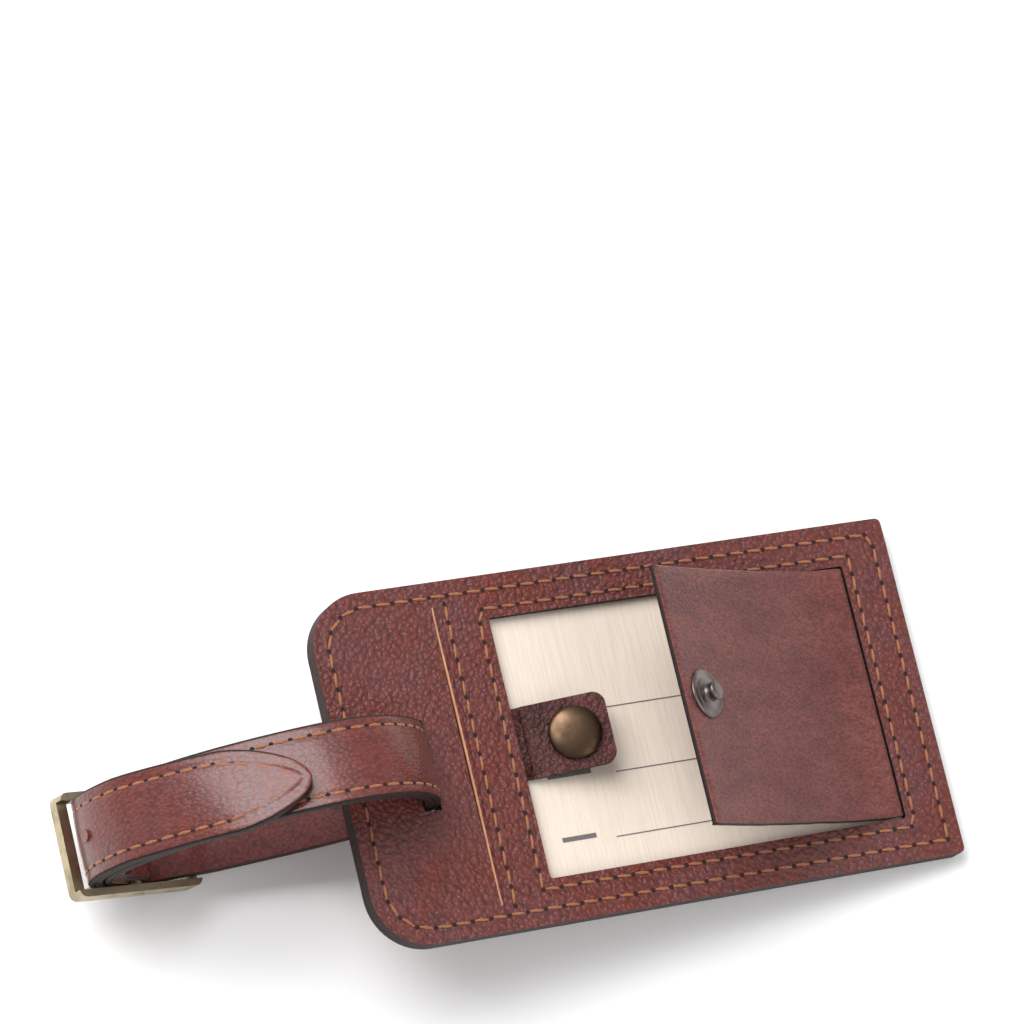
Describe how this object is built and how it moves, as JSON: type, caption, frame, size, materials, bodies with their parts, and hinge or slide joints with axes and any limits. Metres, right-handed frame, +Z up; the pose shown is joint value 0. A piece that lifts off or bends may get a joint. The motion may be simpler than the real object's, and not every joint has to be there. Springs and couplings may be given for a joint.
{
  "type": "luggage tag",
  "caption": "Stitched leather luggage tag with a window pocket for an address card, a snap flap over the window and a buckled strap through a slot.",
  "frame": {"origin": "centre of the bounding box at the level the tag rests on", "axes": "+X along the tag from the strap to the far end, +Y across the tag, +Z up; the tag rests with the strap end propped on its own loop"},
  "size_m": [0.1718, 0.068, 0.0508],
  "materials": {
    "leather": "semi-gloss, creased and burnished",
    "dark_leather": "semi-gloss",
    "lining": "matt",
    "filler": "matt",
    "thread": "matt",
    "film": "clear gloss film",
    "paper": "matt",
    "bronze": "antique, satin",
    "gunmetal": "dark satin",
    "brass": "antique, satin"
  },
  "bodies": {
    "tag": {"front_panel": "leather", "filler_frame": "filler", "back_panel": "lining", "perimeter_thread": "thread", "window_thread": "thread", "slit_thread": "thread", "window_film": "film", "tab_anchor": "dark_leather"},
    "card": {"address_card": "paper"},
    "tab": {"snap_tab": "dark_leather", "snap_cap": "bronze", "snap_socket": "gunmetal"},
    "flap": {"flap": "leather", "snap_stud": "gunmetal", "stud_rivet": "gunmetal"},
    "strap": {"strap_face": "leather", "strap_lining": "lining"},
    "strap_tip": {"strap_tip_face": "leather", "strap_tip_lining": "lining"},
    "buckle": {"buckle_frame": "brass", "buckle_pin": "brass"},
    "prong": {"buckle_prong": "brass"}
  },
  "joints": [
    {"name": "card_slide", "type": "slide", "parent": "tag", "child": "card", "axis": [-0.9779, 0, 0.2093], "range_m": [0, 0.005]},
    {"name": "tab_lift", "type": "hinge", "parent": "tag", "child": "tab", "pos_m": [0.00255, 0.0007, 0.02048], "axis": [0, -1, 0], "range_deg": [0, 80]},
    {"name": "flap_open", "type": "hinge", "parent": "tag", "child": "flap", "pos_m": [0.0752, 0, 0.0059], "axis": [0, 1, 0], "range_deg": [-8, 90]},
    {"name": "strap_swing", "type": "hinge", "parent": "tag", "child": "strap", "pos_m": [-0.01796, -0.0006, 0.02405], "axis": [0, 1, 0], "range_deg": [-4, 4]},
    {"name": "tip_lift", "type": "hinge", "parent": "strap", "child": "strap_tip", "pos_m": [-0.07582, -0.0006, 0.03301], "axis": [0, -1, 0], "range_deg": [0, 30]},
    {"name": "buckle_turn", "type": "hinge", "parent": "strap", "child": "buckle", "pos_m": [-0.0726, -0.0006, 0.01053], "axis": [0, 1, 0], "range_deg": [0, 3]},
    {"name": "prong_turn", "type": "hinge", "parent": "buckle", "child": "prong", "pos_m": [-0.0726, -0.0006, 0.01053], "axis": [0, 1, 0], "range_deg": [0, 4]}
  ]
}
